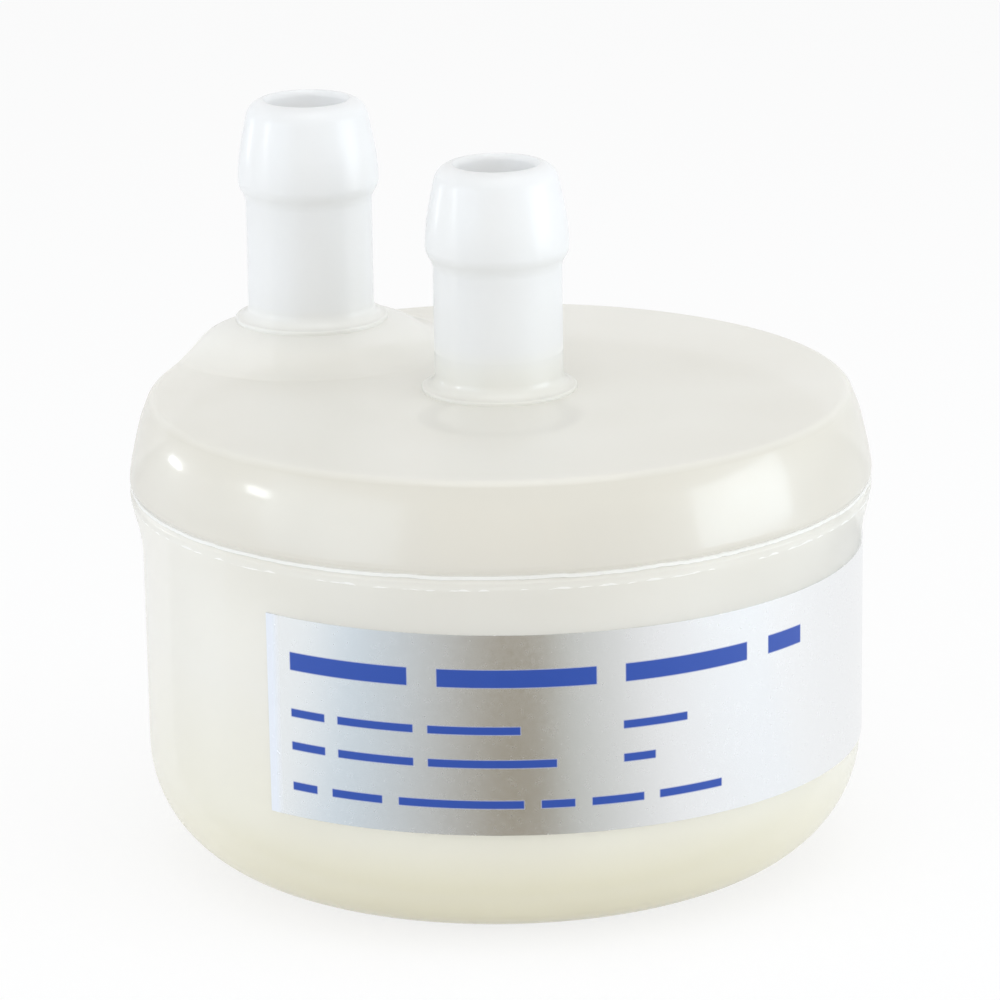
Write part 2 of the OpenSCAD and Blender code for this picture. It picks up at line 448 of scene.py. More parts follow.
def start_material(name: str) -> tuple[bpy.types.Material, Graph]:
    """Make a material with an empty graph.

    Args:
        name: the material's name.

    Returns:
        The material and its graph.
    """
    material = bpy.data.materials.new(name)
    material.use_nodes = True
    return material, Graph(material.node_tree)


@dataclass(frozen=True)
class Relief:
    """Fine relief of a surface: its noise, and the strength and the depth in metres of its bump."""

    scale: float
    detail: float
    strength: float
    depth: float
    roughness: float = 0.5

    def read(self, graph: Graph, place: Value) -> tuple[Value, Value]:
        """Add the relief to a graph.

        Args:
            graph: the finish's graph.
            place: where the noise is read.

        Returns:
            The noise, and the normal that it bends.
        """
        height = graph.noise(place, self.scale, self.detail, self.roughness)
        values = {"Strength": self.strength, "Distance": self.depth, "Height": height}
        return height, graph.value("ShaderNodeBump", 0, None, values)


@dataclass(frozen=True)
class MilkyPlastic:
    """Natural polypropylene: a clouded, half-clear moulding under a glossy skin.

    The other fields set its gloss, its clouds and its flow marks.

    Attributes:
        name: the finish's name.
        tones: heights in millimetres from the base up, and the colour at each, which on the head holds
            painted shade.
        milk: share of the light that each face stops, the rest going straight on.
        haze: roughness of the body of the plastic.
        skin: roughness of its glossy skin.
        matt_zones: lowest and highest height of each zone whose skin is matt.
    """

    name: str
    tones: Tones
    milk: float
    haze: float = 0.36
    skin: float = 0.12
    matt_zones: tuple[tuple[float, float], ...] = ()
    zone_edge: float = 0.2
    gloss: float = 0.6
    matt_gloss: float = 0.1
    cloud_scale: float = 95.0
    cloud_gain: float = 1.8
    cloud_tint: Colour = (0.955, 0.95, 0.94)
    flow: Relief = Relief(420.0, 0.0, 0.3, 0.00005)
    flow_haze: float = 0.12
    index: float = 1.49

    def material(self) -> bpy.types.Material:
        """Build the finish's node tree.

        Returns:
            The material.
        """
        material, graph = start_material(self.name)
        place = graph.place()
        height = graph.axes(place)[2] / MM
        top = self.tones[-1][0]
        # Colour by height; on the head it paints shade on the skirt below the lid's top
        tone = graph.ramp(height / top, [(level / top, colour) for level, colour in self.tones])
        clouds = graph.noise(place, self.cloud_scale, 0.0).contrast(self.cloud_gain)
        flow, bent = self.flow.read(graph, place)
        gloss: Any = self.gloss
        for low, high in self.matt_zones:
            gloss = gloss - (self.gloss - self.matt_gloss) * height.band(low, high, self.zone_edge)
        shader = graph.node("ShaderNodeBsdfPrincipled", None, {
            "Base Color": graph.mix(clouds, tone, graph.tint(tone, self.cloud_tint)),
            "Roughness": self.haze + self.flow_haze * (flow - 0.5),
            "Normal": bent,
            "IOR": self.index,
            "Alpha": self.milk,
            "Coat Weight": gloss,
            "Coat Roughness": self.skin,
            "Coat IOR": self.index,
        })
        graph.show(shader)
        return material


@dataclass(frozen=True)
class PrintRow:
    """One row of plain print bars on the label, in millimetres.

    Attributes:
        drop: distance of the row's upper edge below the label's upper edge.
        height: height of the bars.
        bars: start and end of each bar along the label, from its left end.
    """

    drop: float
    height: float
    bars: tuple[tuple[float, float], ...]


PRINT_ROWS = (
    PrintRow(2.7, 1.6, ((2.2, 12.4), (14.6, 27.2), (29.4, 40.6), (42.8, 47.0))),
    PrintRow(7.3, 0.8, ((2.2, 5.4), (6.4, 12.8), (13.8, 21.2), (29.2, 34.8))),
    PrintRow(10.0, 0.8, ((2.2, 5.4), (6.4, 12.8), (13.8, 24.0), (29.2, 32.0))),
    PrintRow(13.3, 0.8, ((2.2, 4.6), (5.8, 10.2), (11.4, 21.4), (22.6, 25.4), (26.6, 31.0),
                         (32.2, 38.0))),
)


@dataclass(frozen=True)
class SilverFilm:
    """Metallised film with plain blue bars, and a painted reflection of the left window as a pale strip at
    its left end.

    The other fields set its soft edges, its roughness, its grain and its waves.

    Attributes:
        name: the finish's name.
        silver: colour of the metal.
        ink: colour of the print.
        white: colour of the painted reflection of the left window, a pale strip at the label's left end.
        reflection_width: width of that painted reflection.
        rows: the print.
        radius: radius that the film is wrapped to.
        start_angle: angle of the label's left end, in radians.
        top_z: height of its upper edge at the left end.
        lean: fall of the label along its length.
    """

    name: str
    silver: Colour
    ink: Colour
    white: Colour
    reflection_width: float
    rows: tuple[PrintRow, ...]
    radius: float
    start_angle: float
    top_z: float
    lean: float
    reflection_edge: float = 0.7
    ink_edge: float = 0.12
    haze: float = 0.26
    ink_haze: float = 0.12
    grain_scale: float = 2200.0
    grain_haze: float = 0.08
    waves: Relief = Relief(130.0, 1.0, 0.25, 0.0002)

    def material(self) -> bpy.types.Material:
        """Build the finish's node tree.

        Returns:
            The material.
        """
        material, graph = start_material(self.name)
        place = graph.place()
        across, along, height = graph.axes(place)
        arc = (along.turn_from(across) - self.start_angle) * self.radius
        drop = self.top_z - self.lean * arc - height / MM
        print_mask = self._print(arc, drop)
        # Painted reflection of the left window: a pale strip at the label's left end, not metallic
        painted_reflection = arc.band(-self.reflection_width, self.reflection_width, self.reflection_edge)
        grain = graph.noise(place, self.grain_scale)
        printed = graph.mix(print_mask, self.silver, self.ink)
        shader = graph.node("ShaderNodeBsdfPrincipled", None, {
            "Base Color": graph.mix(painted_reflection, printed, self.white),
            "Metallic": (1.0 - print_mask) * (1.0 - painted_reflection),
            "Roughness": self.haze + self.grain_haze * (grain - 0.5) + self.ink_haze * print_mask,
            "Normal": self.waves.read(graph, place)[1],
        })
        graph.show(shader)
        return material

    def _print(self, arc: Value, drop: Value) -> Value:
        """The mask of all print rows.

        Args:
            arc: distance along the label.
            drop: distance below its upper edge.

        Returns:
            1 on ink and 0 on bare film.
        """
        whole: Optional[Value] = None
        for row in self.rows:
            bars: Optional[Value] = None
            for start, end in row.bars:
                bar = arc.band(start, end, self.ink_edge)
                bars = bar if bars is None else bars.largest(bar)
            line = bars * drop.band(row.drop, row.drop + row.height, self.ink_edge)
            whole = line if whole is None else whole.largest(line)
        return whole


@dataclass(frozen=True)
class FibreMedium:
    """Cream melt-blown fibre, whose colour follows its fibres and some larger patches."""

    name: str
    pale: Colour
    deep: Colour
    stretch: tuple[float, float, float] = (1.0, 1.0, 3.0)
    fibre: Relief = Relief(900.0, 4.0, 0.6, 0.0003, 0.65)
    fibre_share: float = 0.6
    patch_scale: float = 60.0
    haze: float = 0.9

    def material(self) -> bpy.types.Material:
        """Build the finish's node tree.

        Returns:
            The material.
        """
        material, graph = start_material(self.name)
        place = graph.place()
        stretched = graph.value("ShaderNodeMapping", 0, None, {"Vector": place, "Scale": self.stretch})
        fibre, bent = self.fibre.read(graph, stretched)
        patches = graph.noise(place, self.patch_scale)
        depth = (self.fibre_share * fibre + (1.0 - self.fibre_share) * patches).clamped()
        shader = graph.node("ShaderNodeBsdfPrincipled", None, {
            "Base Color": graph.mix(depth, self.pale, self.deep),
            "Roughness": self.haze,
            "Normal": bent,
        })
        graph.show(shader)
        return material


@dataclass(frozen=True)
class InnerPlastic:
    """White moulded plastic of the core and the end caps, with patches a shade darker."""

    name: str
    white: Colour
    shade: Colour
    patches: Relief = Relief(140.0, 3.0, 0.3, 0.0001)
    patch_haze: float = 0.15
    haze: float = 0.45

    def material(self) -> bpy.types.Material:
        """Build the finish's node tree.

        Returns:
            The material.
        """
        material, graph = start_material(self.name)
        patches, bent = self.patches.read(graph, graph.place())
        shader = graph.node("ShaderNodeBsdfPrincipled", None, {
            "Base Color": graph.mix(patches, self.white, self.shade),
            "Roughness": self.haze + self.patch_haze * (patches - 0.5),
            "Normal": bent,
        })
        graph.show(shader)
        return material


@dataclass(frozen=True)
class PartSizes:
    """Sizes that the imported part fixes, in millimetres.

    Attributes:
        seam_z: height of the weld seam.
        bead_r: radius of the weld bead.
        tip_z: height of the inlet barb's tip.
        inlet_x: where the inlet barb's axis crosses X.
        bore_r: radius of both bores.
        crest_r: radius of the barbs' crests.
        label_low: height of the label's lower edge.
        label_high: height of its upper edge.
        label_r: outer radius of the label.
    """

    seam_z: float
    bead_r: float
    tip_z: float
    inlet_x: float
    bore_r: float
    crest_r: float
    label_low: float
    label_high: float
    label_r: float

    @classmethod
    def read(cls, record: dict[str, Any]) -> "PartSizes":
        """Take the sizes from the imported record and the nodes' boxes.

        Args:
            record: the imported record.

        Returns:
            The sizes.
        """
        mounts = {mount["name"]: mount for mount in record["mounts"]}
        bowl_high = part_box("bowl")[1]
        head_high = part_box("head")[1]
        label_low, label_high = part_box("label")
        return cls(
            seam_z=bowl_high.z / MM,
            bead_r=bowl_high.x / MM,
            tip_z=head_high.z / MM,
            inlet_x=mounts["inlet_bore"]["pos_m"][0] / MM,
            bore_r=mounts["inlet_bore"]["dims"]["r_mm"],
            crest_r=mounts["inlet_barb"]["dims"]["r_mm"],
            label_low=label_low.z / MM,
            label_high=label_high.z / MM,
            label_r=label_high.x / MM,
        )


def weld_groove(bead_r: float, seam_z: float, reach: float) -> list[Corner]:
    """Edge and bottom of the weld's groove, which reaches up or down from the seam."""
    edge = Corner(bead_r - GROOVE_INSET, seam_z + reach, GROOVE_ROUND, 3)
    return [edge, Corner(bead_r - GROOVE_DEPTH, seam_z)]


@dataclass
class Head:
    """The moulded head: lid, skirt, weld flange, inlet boss, outlet socket and both hose barbs.

    Sizes are millimetres. A root is how far a form reaches into what carries it, and an overrun how far a
    cutter passes what it cuts.
    """

    part: PartSizes
    root: float = 1.2
    barb_len: float = 18.5
    foot_r: float = 6.3
    foot_h: float = 0.3
    foot_round: float = 0.15
    foot_lift: float = 0.05
    foot_fillet: float = 1.0
    stem_r: float = 5.2
    stem_len: float = 10.3
    stem_round: float = 0.5
    undercut_h: float = 1.2
    undercut_ease: float = 0.2
    crest_land: float = 1.7
    crest_round: float = 0.45
    taper_round: float = 1.2
    shank_r: float = 5.22
    shank_drop: float = 2.2
    shank_round: float = 0.9
    tip_r: float = 4.72
    lip: float = 1.25
    mouth_ease: float = 0.35
    mouth_round: float = 0.2
    bore_overrun: float = 0.5
    boss_h: float = 2.3
    boss_root: float = 1.0
    boss_crown_r: float = 7.5
    boss_foot_r: float = 11.0
    boss_foot_lift: float = 0.02
    boss_run_out: float = 2.2
    boss_sink: float = 0.04
    boss_bend: float = 1.8
    boss_limit_r: float = 28.0
    boss_limit_rise: float = 0.4
    boss_round: float = 1.5
    plate_t: float = 2.4
    flat_rings: tuple[float, ...] = (0.0, 8.0, 12.0, 16.0, 20.0, 23.0, 25.0, 26.5)
    rim_r: float = 28.25
    rim_round: float = 0.6
    shoulder_r: float = 29.08
    shoulder_drop: float = 2.1
    shoulder_round: float = 0.6
    skirt_r: float = 29.72
    skirt_rise: float = 2.4
    skirt_round: float = 0.9
    bead_rise: float = 0.25
    bead_round: float = 0.2
    inner_r: float = 27.1
    inner_round: float = 2.0
    socket_r: float = 6.65
    socket_round: float = 0.3
    socket_bore_r: float = 5.05
    socket_low_z: float = 32.5
    socket_overrun: float = 1.0
    seam_gap: float = 0.02

    @property
    def lid_z(self) -> float:
        """Height of the lid's flat top."""
        return self.part.tip_z - self.barb_len - self.boss_h

    def build(self, material: bpy.types.Material) -> bpy.types.Object:
        """Make the head and dress it.

        Args:
            material: the milky plastic.

        Returns:
            The head.
        """
        under_z = self.lid_z - self.plate_t
        inlet_seat = self.lid_z + self.boss_h
        bore_low = under_z - self.bore_overrun
        socket_top = under_z + self.root
        socket_cut = self.socket_low_z - self.socket_overrun
        socket = [Corner(0, self.socket_low_z),
                  Corner(self.socket_r, self.socket_low_z, self.socket_round, 3),
                  Corner(self.socket_r, socket_top), Corner(0, socket_top)]
        socket_bore = [Corner(0, socket_cut), Corner(self.socket_bore_r, socket_cut),
                       Corner(self.socket_bore_r, under_z), Corner(0, under_z)]
        form = carved("head_work", self._lid(), [
            (Join.ADD, self._boss()),
            (Join.ADD, turned(self._barb(self.lid_z), 0.0, BARB_STEPS)),
            (Join.ADD, turned(self._barb(inlet_seat), self.part.inlet_x, BARB_STEPS)),
            (Join.ADD, turned(socket, 0.0, BARB_STEPS)),
            (Join.CUT, turned(socket_bore, 0.0, BARB_STEPS)),
            (Join.CUT, turned(self._bore(self.lid_z, bore_low), 0.0, BARB_STEPS)),
            (Join.CUT, turned(self._bore(inlet_seat, bore_low), self.part.inlet_x, BARB_STEPS)),
        ])
        piece = as_object("head_moulding", form)
        dress(piece, material, "head_plastic", "head")
        return piece

    def _lid(self) -> bmesh.types.BMesh:
        """Make the lid with its skirt and its half of the weld flange.

        Returns:
            The lid without its bores.
        """
        bead_r = self.part.bead_r
        seam_z = self.part.seam_z + self.seam_gap
        under_z = self.lid_z - self.plate_t
        flat = [Corner(radius, self.lid_z) for radius in self.flat_rings]
        outside = [
            Corner(self.rim_r, self.lid_z, self.rim_round),
            Corner(self.shoulder_r, self.lid_z - self.shoulder_drop, self.shoulder_round, 8),
            Corner(self.skirt_r, seam_z + self.skirt_rise, self.skirt_round, 8),
            Corner(bead_r, seam_z + GROOVE_REACH + self.bead_rise, self.bead_round, 4),
            *weld_groove(bead_r, seam_z, GROOVE_REACH),
        ]
        inside = [
            Corner(self.inner_r, seam_z),
            Corner(self.inner_r, under_z, self.inner_round),
            Corner(0, under_z),
        ]
        return turned(flat + outside + inside)

    def _boss(self) -> bmesh.types.BMesh:
        """Make the low rounded boss under the inlet barb, kept inside the lid's edge.

        Returns:
            The boss.
        """
        crown_z = self.lid_z + self.boss_h
        root_z = self.lid_z - self.boss_root
        limit_z = self.lid_z - 2 * self.boss_root
        run_out_r = self.boss_foot_r + self.boss_run_out
        dome = [
            Corner(0, root_z),
            Corner(run_out_r, root_z),
            Corner(run_out_r, self.lid_z - self.boss_sink),
            Corner(self.boss_foot_r, self.lid_z + self.boss_foot_lift, self.boss_bend, 10),
            Corner(self.boss_crown_r, crown_z, self.boss_bend, 10),
            Corner(0, crown_z),
        ]
        limit = [
            Corner(0, limit_z),
            Corner(self.boss_limit_r, limit_z),
            Corner(self.boss_limit_r, crown_z, self.boss_round, 8),
            Corner(0, crown_z + self.boss_limit_rise),
        ]
        return carved("boss_work", turned(dome, self.part.inlet_x), [(Join.KEEP, turned(limit))])

    def _barb(self, seat: float) -> list[Corner]:
        """Profile of one hose barb.

        Args:
            seat: height of the face that it stands on.

        Returns:
            The outside profile.
        """
        crest_z = seat + self.stem_len + self.undercut_h
        taper_z = crest_z + self.crest_land
        tip_z = seat + self.barb_len
        return [
            Corner(0, seat - self.root),
            Corner(self.foot_r, seat - self.root),
            Corner(self.foot_r, seat + self.foot_h, self.foot_round, 4),
            Corner(self.stem_r, seat + self.foot_h + self.foot_lift, self.foot_fillet, 8),
            Corner(self.stem_r, seat + self.stem_len + self.undercut_ease, self.stem_round, 5),
            Corner(self.part.crest_r, crest_z - self.undercut_ease, self.crest_round, 5),
            Corner(self.part.crest_r, taper_z, self.taper_round, 6),
            Corner(self.shank_r, tip_z - self.shank_drop, self.shank_round, 6),
            Corner(self.tip_r, tip_z, self.lip, 10),
            Corner(0, tip_z),
        ]

    def _bore(self, seat: float, low: float) -> list[Corner]:
        """Profile of one bore with its eased mouth.

        Args:
            seat: height of the barb's seat.
            low: where the bore ends.

        Returns:
            The profile that is cut out.
        """
        tip_z = seat + self.barb_len
        bore_r = self.part.bore_r
        return [
            Corner(0, low),
            Corner(bore_r, low),
            Corner(bore_r, tip_z - self.mouth_ease, self.mouth_round, 3),
            Corner(bore_r + 2 * self.mouth_ease, tip_z + self.mouth_ease),
            Corner(0, tip_z + self.mouth_ease),
        ]


@dataclass
class Bowl:
    """The moulded bowl: weld flange, drafted wall, round bottom corner, flat base and inner ribs.

    Sizes are millimetres.
    """

    part: PartSizes
    wall_r: float = 29.1
    low_r: float = 29.0
    corner: float = 9.7
    wall: float = 2.0
    base_t: float = 2.2
    base_rings: tuple[float, ...] = (0.0, 10.0, 18.0)
    flare: float = 3.4
    flare_round: float = 1.5
    land: float = 0.9
    bead_round: float = 0.9
    rib_count: int = 6
    rib_h: float = 2.0
    rib_gap: float = 0.02
    rib_t: float = 1.4
    rib_outer_r: float = 17.9
    rib_inner_r: float = 6.0

    def build(self, material: bpy.types.Material) -> bpy.types.Object:
        """Make the bowl and dress it.

        Args:
            material: the milky plastic.

        Returns:
            The bowl.
        """
        seam_z = self.part.seam_z
        bead_r = self.part.bead_r
        inner_r = self.wall_r - self.wall
        base = [Corner(radius, 0) for radius in self.base_rings]
        outside = [
            Corner(self.low_r, 0, self.corner, 20),
            Corner(self.wall_r, seam_z - self.land - self.flare, self.flare_round),
            Corner(bead_r, seam_z - self.land, self.bead_round),
            *weld_groove(bead_r, seam_z, -GROOVE_REACH),
        ]
        inside = [
            Corner(inner_r, seam_z),
            Corner(inner_r, self.base_t, self.corner - self.wall, 16),
            Corner(self.base_rings[-1], self.base_t),
            Corner(0, self.base_t),
        ]
        low = Vector((self.rib_inner_r, -self.rib_t / 2, self.base_t / 2))
        high = Vector((self.rib_outer_r, self.rib_t / 2, self.base_t + self.rib_h - self.rib_gap))
        ribs = []
        for index in range(self.rib_count):
            ribs.append((Join.ADD, block(low, high, 2 * math.pi * index / self.rib_count)))
        form = carved("bowl_work", turned(base + outside + inside), ribs)
        piece = as_object("bowl_moulding", form)
        dress(piece, material, "bowl_plastic", "bowl")
        return piece


@dataclass
class WeldSeam:
    """The fine, uneven lines of flash that the weld leaves along the bead.

    Sizes are millimetres. A line wanders up and down with a finer ripple, and its swell has a limit.
    """

    part: PartSizes
    steps: int = 720
    sides: int = 6
    line_r: float = 0.24
    line_seed: float = 3.0
    second_drop: float = 0.95
    second_r: float = 0.16
    second_seed: float = 11.0
    inset: float = 0.035
    noise_r: float = 9.0
    wander: float = 0.10
    ripple: float = 0.05
    ripple_rate: float = 6.0
    swell: float = 0.05
    swell_rate: float = 3.0
    swell_mean: float = 0.3
    swell_limit: float = 0.03

    def build(self, material: bpy.types.Material) -> bpy.types.Object:
        """Make both lines as one piece and dress it.

        Args:
            material: the whitened plastic of the flash.

        Returns:
            The seam.
        """
        form = bmesh.new()
        outer_r = self.part.bead_r - self.inset
        second_z = self.part.seam_z - self.second_drop
        self._line(form, outer_r - self.line_r, self.part.seam_z, self.line_r, self.line_seed)
        self._line(form, outer_r - self.second_r, second_z, self.second_r, self.second_seed)
        bmesh.ops.recalc_face_normals(form, faces=form.faces[:])
        piece = as_object("weld_seam", form)
        dress(piece, material, "bowl_plastic")
        return piece

    def _line(self, form: bmesh.types.BMesh, radius: float, height: float, size: float, seed: float) -> None:
        """Add one ring of flash to a form.

        Args:
            form: where the ring goes.
            radius: radius of the ring's middle.
            height: height of its middle.
            size: radius of its section.
            seed: where in the noise its unevenness is read.
        """
        place = Matrix.Translation((radius * MM, 0.0, height * MM)) @ Matrix.Rotation(math.pi / 2, 4, "X")
        section = bmesh.ops.create_circle(form, segments=self.sides, radius=size * MM, matrix=place)["verts"]
        edges = list({edge for vert in section for edge in vert.link_edges})
        before = set(form.verts)
        bmesh.ops.spin(form, geom=section + edges, cent=(0, 0, 0), axis=(0, 0, 1), angle=2 * math.pi,
                       steps=self.steps, use_merge=True, use_duplicate=False)
        ring = section + [vert for vert in form.verts if vert not in before]
        for vert in ring:
            angle = math.atan2(vert.co.y, vert.co.x)
            at = Vector((self.noise_r * math.cos(angle), self.noise_r * math.sin(angle), seed))
            lift = self.wander * noise.noise(at) + self.ripple * noise.noise(at * self.ripple_rate)
            swell = self.swell * (noise.noise(at * self.swell_rate) - self.swell_mean)
            outward = Vector((math.cos(angle), math.sin(angle), 0.0))
            vert.co += outward * (min(swell, self.swell_limit) * MM) + Vector((0.0, 0.0, lift * MM))


@dataclass
class WrapLabel:
    """The metallised film that is wrapped round the bowl, a little out of true. Sizes are millimetres."""

    part: PartSizes
    arc: float = math.radians(170)
    steps: int = 170
    film: float = 0.16
    low_r: float = 29.02
    high_r: float = 29.12
    lean: float = 0.009

    @property
    def start_angle(self) -> float:
        """Angle of the label's left end."""
        return -self.arc / 2

    @property
    def start_top(self) -> float:
        """Height of the upper edge at the label's left end."""
        return self.part.label_high + self.lean * self.part.label_r * self.arc / 2

    def build(self, material: bpy.types.Material) -> bpy.types.Object:
        """Make the label and dress it.

        Args:
            material: the printed film.

        Returns:
            The label.
        """
        form = bmesh.new()
        start = Matrix.Rotation(self.start_angle, 3, "Z")
        low = form.verts.new(start @ Vector((self.low_r * MM, 0.0, self.part.label_low * MM)))
        high = form.verts.new(start @ Vector((self.high_r * MM, 0.0, self.part.label_high * MM)))
        edge = form.edges.new((low, high))
        bmesh.ops.spin(form, geom=[low, high, edge], cent=(0, 0, 0), axis=(0, 0, 1), angle=self.arc,
                       steps=self.steps, use_merge=False, use_duplicate=False)
        bmesh.ops.recalc_face_normals(form, faces=form.faces[:])
        middle = form.faces[:][len(form.faces) // 2]
        if middle.normal.dot(middle.calc_center_median()) > 0:
            bmesh.ops.reverse_faces(form, faces=form.faces[:])
        bmesh.ops.solidify(form, geom=form.faces[:], thickness=self.film * MM)
        bmesh.ops.recalc_face_normals(form, faces=form.faces[:])
        for vert in form.verts:
            angle = math.atan2(vert.co.y, vert.co.x)
            vert.co.z -= self.lean * self.part.label_r * angle * MM
        piece = as_object("wrap_label", form)
        dress(piece, material, "label_film", "label")
        return piece


@dataclass
class FilterElement:
    """The sealed element: depth medium, perforated core and both end caps. Sizes are millimetres."""

    outer_r: float = 22.5
    bore_r: float = 10.6
    low_z: float = 6.2
    high_z: float = 30.2
    edge: float = 0.3

    def build(self, nodes: dict[str, bpy.types.Object], fibre: bpy.types.Material,
              plastic: bpy.types.Material) -> bpy.types.Object:
        """Make the medium, dress it, and dress the core and the caps.

        Args:
            nodes: the CAD nodes.
            fibre: finish of the medium.
            plastic: finish of the core and the caps.

        Returns:
            The medium.
        """
        section = ((self.outer_r, self.low_z), (self.outer_r, self.high_z),
                   (self.bore_r, self.high_z), (self.bore_r, self.low_z))
        rings = [Corner(radius, height, self.edge, 3) for radius, height in section]
        piece = as_object("depth_medium", turned(rings))
        dress(piece, fibre, "medium", "filter_medium")
        for name in ("support_core", "upper_end_cap", "lower_end_cap"):
            mesh = nodes[name].data
            mesh.materials.clear()
            mesh.materials.append(plastic)
            LOG.info("%s: kept from the part", name)
        return piece


@dataclass(frozen=True)
class Lamp:
    """One soft lamp, placed round the object from the camera's side.

    Attributes:
        name: the lamp's name.
        azimuth: degrees to the right of the camera.
        elevation: degrees above the horizon.
        distance: metres from the object.
        width: metres.
        height: metres.
        watts: power.
        colour: colour of its light.
    """

    name: str
    azimuth: float
    elevation: float
    distance: float
    width: float
    height: float
    watts: float
    colour: Colour = WHITE


@dataclass
class Studio:
    """Camera, lamps, pale floor and white surroundings, in metres and degrees.

    The lens and its sensor are millimetres, and the roll is radians. The card's colours go with degrees to
    the right of the camera.
    """

    azimuth: float = 44.0
    elevation: float = 15.87
    distance: float = 0.4906
    lens: float = 217.8
    sensor: float = 36.0
    clip: tuple[float, float] = (0.01, 20.0)
    roll: float = -0.0162
    target_z: float = 0.0289
    target_side: float = -0.0001
    ambient: float = 0.745
    floor_size: float = 4.0
    floor_z: float = -0.0001
    floor_tone: Colour = (0.92, 0.92, 0.92)
    floor_white: float = 0.8
    card_spread: float = 160.0
    card_near: float = 0.045
    card_far: float = 0.200
    card_z: float = 0.0002
    card_steps: int = 48
    lamps: tuple[Lamp, ...] = (
        Lamp("key_softbox", 78.0, 6.0, 0.45, 0.30, 0.20, 0.88, (0.79, 0.90, 1.0)),
        Lamp("left_window", -79.0, 10.0, 0.45, 0.07, 0.04, 0.14, (0.90, 0.95, 1.0)),
        Lamp("back_left_window", -119.0, 2.0, 0.45, 0.06, 0.03, 0.09, (0.90, 0.95, 1.0)),
        Lamp("left_fill", -54.0, 6.0, 0.6, 0.5, 0.4, 1.15, (0.70, 0.84, 1.0)),
        Lamp("top_softbox", 20.0, 75.0, 0.5, 0.35, 0.35, 0.6),
        Lamp("front_fill", 0.0, 8.0, 0.8, 0.6, 0.4, 0.3, (1.0, 0.82, 0.5)),
    )
    card: Tones = (
        (-75.0, (0.92, 0.93, 0.93)),
        (-57.0, (0.90, 0.92, 0.92)),
        (-42.0, (0.63, 0.71, 0.77)),
        (-20.0, (0.52, 0.53, 0.52)),
        (0.0, (0.31, 0.27, 0.20)),
        (8.0, (0.31, 0.275, 0.21)),
        (17.0, (0.54, 0.55, 0.52)),
        (42.0, (0.90, 0.90, 0.90)),
        (70.0, (0.96, 0.98, 1.0)),
    )

    def toward(self, azimuth: float, elevation: float) -> Vector:
        """Direction from the object, seen from the camera's side.

        Args:
            azimuth: degrees to the right of the camera.
            elevation: degrees above the horizon.

        Returns:
            A vector of length 1.
        """
        turn = math.radians(self.azimuth + azimuth)
        rise = math.radians(elevation)
        return Vector((math.sin(turn) * math.cos(rise), -math.cos(turn) * math.cos(rise), math.sin(rise)))

    def build(self) -> None:
        """Set up everything round the object."""
        bpy.context.scene.view_settings.view_transform = "Standard"
        self._camera()
        self._world()
        self._floor()
        self._card()
        for lamp in self.lamps:
            self._lamp(lamp)

    def _camera(self) -> None:
        """Stand the camera where the photograph was taken from."""
        back = self.toward(0.0, self.elevation)
        right = Vector((0.0, 0.0, 1.0)).cross(back).normalized()
        upright = back.cross(right)
        turned_right = right * math.cos(self.roll) + upright * math.sin(self.roll)
        turned_up = upright * math.cos(self.roll) - right * math.sin(self.roll)
        place = Vector((0.0, 0.0, self.target_z)) + right * self.target_side + back * self.distance
        data = bpy.data.cameras.new("camera")
        data.lens = self.lens
        data.sensor_width = self.sensor
        data.clip_start, data.clip_end = self.clip
        camera = bpy.data.objects.new("camera", data)
        basis = Matrix((turned_right, turned_up, back)).transposed().to_4x4()
        camera.matrix_world = Matrix.Translation(place) @ basis
        bpy.context.scene.collection.objects.link(camera)
        bpy.context.scene.camera = camera

    def _seen(self, graph: Graph) -> Value:
        """Tell rays that show the surroundings from those that light the object.

        Args:
            graph: the graph that reads it.

        Returns:
            1 for rays that show them, and 0 for the others.
        """
        rays = graph.node("ShaderNodeLightPath")
        names = ("Is Camera Ray", "Is Glossy Ray", "Is Transmission Ray")
        camera, glossy, through = (Value(graph, rays.outputs[name]) for name in names)
        return (camera + glossy + through).clamped()

    def _world(self) -> None:
        """White surroundings that light the object at a plain level."""
        world = bpy.data.worlds.new("surroundings")
        world.use_nodes = True
        bpy.context.scene.world = world
        graph = Graph(world.node_tree)
        shader = graph.node("ShaderNodeBackground", None, {
            "Color": WHITE,
            "Strength": self.ambient + (1.0 - self.ambient) * self._seen(graph),
        })
        graph.node("ShaderNodeOutputWorld", None, {"Surface": shader.outputs[0]})

    def _floor(self) -> None:
        """A pale floor that keeps the object's shadow."""
        form = bmesh.new()
        bmesh.ops.create_grid(form, x_segments=1, y_segments=1, size=self.floor_size,
                              matrix=Matrix.Translation((0.0, 0.0, self.floor_z)))
        floor = as_object("floor", form)
        material, graph = start_material("pale_floor")
        shaded = graph.node("ShaderNodeBsdfDiffuse", None, {"Color": self.floor_tone})
        white = graph.node("ShaderNodeEmission", None, {"Color": WHITE, "Strength": 1.0})
        graph.show(graph.node("ShaderNodeMixShader", None, {
            0: self.floor_white * self._seen(graph), 1: shaded.outputs[0], 2: white.outputs[0]}))
        floor.data.materials.append(material)

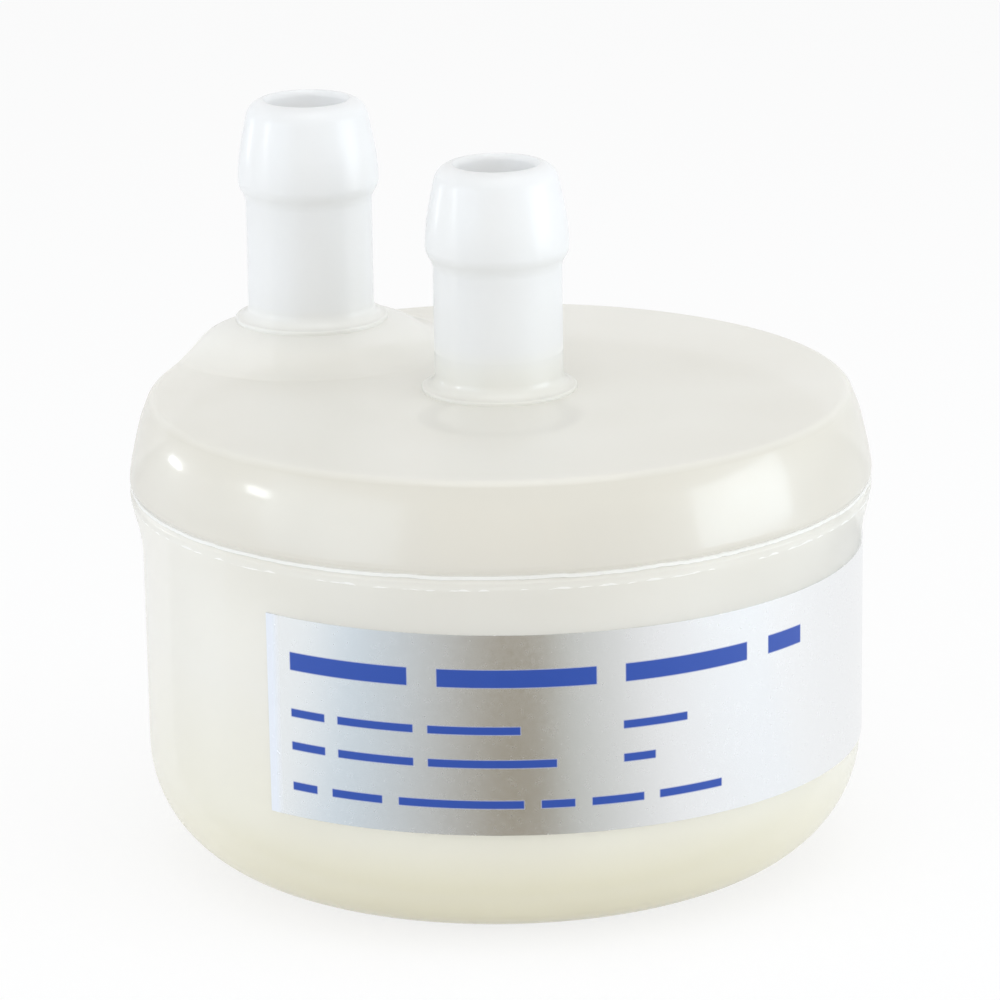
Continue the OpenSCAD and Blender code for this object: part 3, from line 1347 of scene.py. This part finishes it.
    def _card(self) -> None:
        """A shaded card that lies before the object, which only mirrors show."""
        spread = math.radians(self.card_spread)
        start = math.radians(self.azimuth - 90.0) - spread / 2
        form = bmesh.new()
        turn = Matrix.Rotation(start, 3, "Z")
        near = form.verts.new(turn @ Vector((self.card_near, 0.0, self.card_z)))
        far = form.verts.new(turn @ Vector((self.card_far, 0.0, self.card_z)))
        edge = form.edges.new((near, far))
        bmesh.ops.spin(form, geom=[near, far, edge], cent=(0, 0, 0), axis=(0, 0, 1), angle=spread,
                       steps=self.card_steps, use_merge=False, use_duplicate=False)
        card = as_object("shaded_card", form)
        material, graph = start_material("card")
        across, along, _ = graph.axes(graph.place())
        share = (along.turn_from(across) - start) / spread
        stops = [(degrees / self.card_spread + 0.5, colour) for degrees, colour in self.card]
        shade = graph.ramp(share, stops)
        graph.show(graph.node("ShaderNodeEmission", None, {"Color": shade, "Strength": 1.0}))
        card.data.materials.append(material)
        card.visible_camera = False
        card.visible_diffuse = False
        card.visible_transmission = False
        card.visible_shadow = False

    def _lamp(self, lamp: Lamp) -> None:
        """Hang one lamp.

        Args:
            lamp: what to hang and where.
        """
        data = bpy.data.lights.new(lamp.name, "AREA")
        data.shape = "RECTANGLE"
        data.size = lamp.width
        data.size_y = lamp.height
        data.energy = lamp.watts
        data.color = lamp.colour
        item = bpy.data.objects.new(lamp.name, data)
        direction = self.toward(lamp.azimuth, lamp.elevation)
        place = Vector((0.0, 0.0, self.target_z)) + direction * lamp.distance
        item.matrix_world = Matrix.Translation(place) @ direction.to_track_quat("Z", "Y").to_matrix().to_4x4()
        item.visible_transmission = False
        bpy.context.scene.collection.objects.link(item)


def main() -> None:
    """Load the frame and build every piece round it."""
    logging.basicConfig(level=logging.INFO, format="%(message)s")
    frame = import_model()
    part = PartSizes.read(frame["record"])
    Studio().build()
    # The head's colour by height, with painted shade on the skirt below the lid's top
    head_tones_and_shade = (*HEAD_TONES_AND_SHADE, (part.tip_z, TIP_TONE))
    flash_tones = ((0.0, FLASH_TONES[0]), (part.tip_z, FLASH_TONES[1]))
    head_plastic = MilkyPlastic("milky_head", head_tones_and_shade, milk=0.72, matt_zones=HEAD_MATT_ZONES)
    bowl_plastic = MilkyPlastic("milky_bowl", WALL_TONES, milk=0.68)
    flash_plastic = MilkyPlastic("seam_flash", flash_tones, milk=0.85, haze=0.3, skin=0.1)
    Head(part).build(head_plastic.material())
    Bowl(part).build(bowl_plastic.material())
    WeldSeam(part).build(flash_plastic.material())
    label = WrapLabel(part)
    # The film takes a painted reflection of the left window at its left end
    film = SilverFilm("silver_film", LABEL_SILVER, LABEL_INK, LABEL_PAINTED_REFLECTION, LABEL_REFLECTION_WIDTH, PRINT_ROWS,
                      part.label_r, label.start_angle, label.start_top, label.lean)
    label.build(film.material())
    fibre = FibreMedium("fibre_medium", *FIBRE_TONES)
    inner = InnerPlastic("inner_plastic", *INNER_TONES)
    FilterElement().build(frame["nodes"], fibre.material(), inner.material())


if __name__ == "__main__":
    main()
